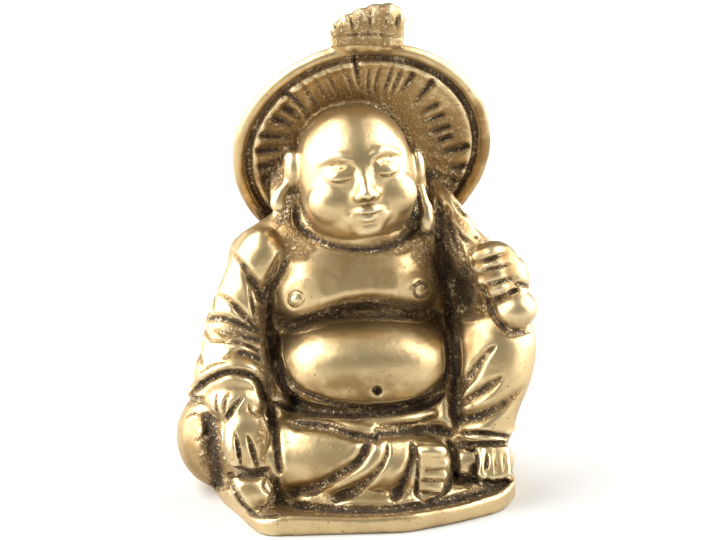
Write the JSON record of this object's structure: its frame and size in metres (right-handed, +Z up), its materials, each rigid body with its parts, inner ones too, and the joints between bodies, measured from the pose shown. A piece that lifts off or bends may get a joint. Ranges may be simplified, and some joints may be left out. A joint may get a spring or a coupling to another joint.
{
  "type": "budai figure",
  "caption": "Small solid-cast seated figure with a round belly, wide round hat, cloth sack over one shoulder and a flat base plate; stands by its own weight as an ornament.",
  "frame": {"origin": "on the underside of the base plate, below the middle of the lap", "axes": "+Z up; the figure faces -Y; +X towards the figure's left, where its knee is raised"},
  "size_m": [0.0349, 0.0256, 0.05],
  "materials": {
    "cast_brass": "rubbed bright on the high forms, dark brown grainy patina in the recesses"
  },
  "bodies": {
    "root": {"budai_figure": "cast_brass"}
  },
  "joints": []
}
